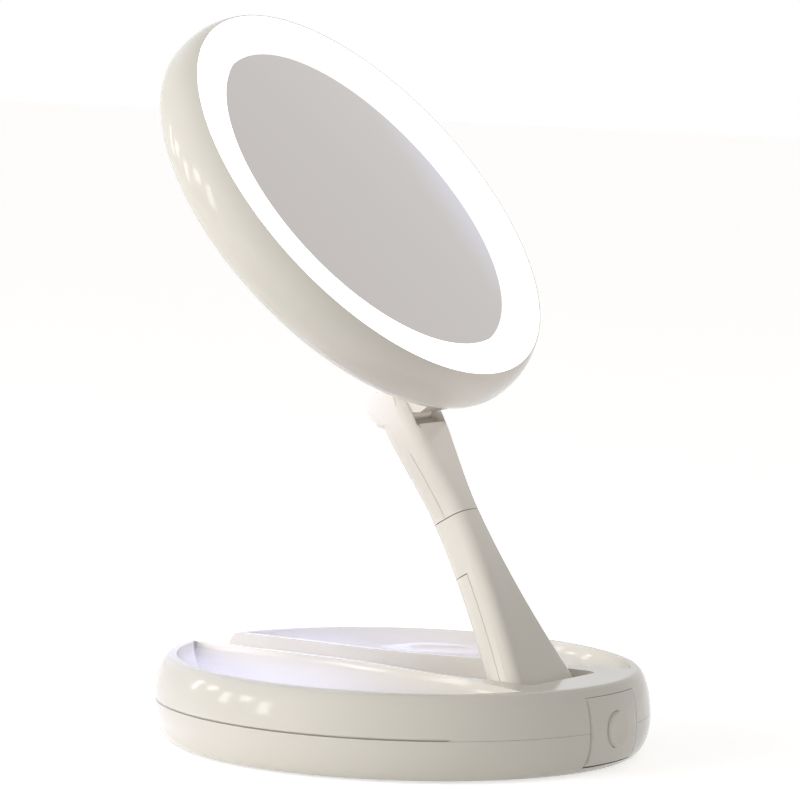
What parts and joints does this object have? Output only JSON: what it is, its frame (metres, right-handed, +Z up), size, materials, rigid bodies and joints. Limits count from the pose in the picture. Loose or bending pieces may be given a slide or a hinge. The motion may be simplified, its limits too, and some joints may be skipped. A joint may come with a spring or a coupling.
{
  "type": "lighted magnifying mirror",
  "caption": "Round two-sided lighted make-up mirror tilting on a leaning, swivelling arm that folds back into the channel of a round tray base with a power button.",
  "frame": {"origin": "middle of the underside of the feet, on the table", "axes": "+Z up, -Y towards the power button, YZ is the plane of symmetry; rest is the pictured open pose"},
  "size_m": [0.175, 0.1758, 0.2549],
  "materials": {
    "shell_white": "glossy moulded warm white",
    "inner_white": "matte white",
    "rubber_grey": "matte rubber",
    "steel": "plain steel",
    "cell_sleeve": "plain sleeve",
    "switch_black": "matte black",
    "board_green": "solder mask",
    "led": "lit emitter",
    "light_ring": "opal diffuser, lit",
    "mirror_glass": "silvered glass"
  },
  "bodies": {
    "base": {"base_upper_shell": "shell_white", "base_lower_shell": "shell_white", "rubber_feet": "rubber_grey", "base_screws": "steel", "battery_cells": "cell_sleeve", "battery_springs": "steel", "contact_plates": "steel", "front_panel": "shell_white", "tact_switch": "switch_black", "control_board": "board_green", "base_hinge_pin": "steel", "hinge_washers": "inner_white"},
    "battery_door": {"battery_door": "shell_white"},
    "power_button": {"power_button": "shell_white"},
    "lower_arm": {"lower_arm_shell": "shell_white", "lower_arm_cover": "shell_white", "arm_screws": "steel", "swivel_tube": "steel", "retaining_ring": "steel"},
    "upper_arm": {"upper_arm_shell": "shell_white", "upper_arm_cover": "shell_white", "swivel_washer": "inner_white"},
    "hinge_barrel": {"hinge_barrel": "steel"},
    "head": {"head_bracket": "shell_white", "bracket_screws": "steel", "head_band": "shell_white", "inner_frame": "inner_white", "front_carrier": "inner_white", "front_led_board": "board_green", "front_leds": "led", "front_lens": "light_ring", "front_mirror": "mirror_glass", "rear_led_board": "board_green", "rear_leds": "led", "rear_carrier": "inner_white", "rear_lens": "light_ring", "magnifying_mirror": "mirror_glass", "rear_frame": "shell_white"}
  },
  "joints": [
    {"name": "arm_fold", "type": "hinge", "parent": "base", "child": "lower_arm", "pos_m": [0, -0.057, 0.019], "axis": [1, 0, 0], "range_deg": [-59.6, 0]},
    {"name": "arm_swivel", "type": "hinge", "parent": "lower_arm", "child": "upper_arm", "pos_m": [0, -0.01991, 0.08222], "axis": [0, 0.506, 0.8625], "range_deg": [0, 180]},
    {"name": "head_fold", "type": "hinge", "parent": "upper_arm", "child": "hinge_barrel", "pos_m": [0, 0.00478, 0.11956], "axis": [1, 0, 0], "range_deg": [-157.7, 0]},
    {"name": "head_tilt", "type": "hinge", "parent": "hinge_barrel", "child": "head", "pos_m": [0, 0.00478, 0.11956], "axis": [1, 0, 0], "range_deg": [-12, 16]},
    {"name": "power_button_press", "type": "slide", "parent": "base", "child": "power_button", "axis": [0, 1, 0], "range_m": [0, 0.0005], "stiffness_N_per_m": 900, "springref_m": -0.0005},
    {"name": "battery_door_open", "type": "hinge", "parent": "base", "child": "battery_door", "pos_m": [0.02675, 0, 0.0018], "axis": [0, 1, 0], "range_deg": [0, 90]}
  ],
  "couplings": [
    {"joint": "arm_swivel", "follows": "arm_fold", "ratio": -3.02},
    {"joint": "head_fold", "follows": "arm_fold", "ratio": 2.6459}
  ]
}
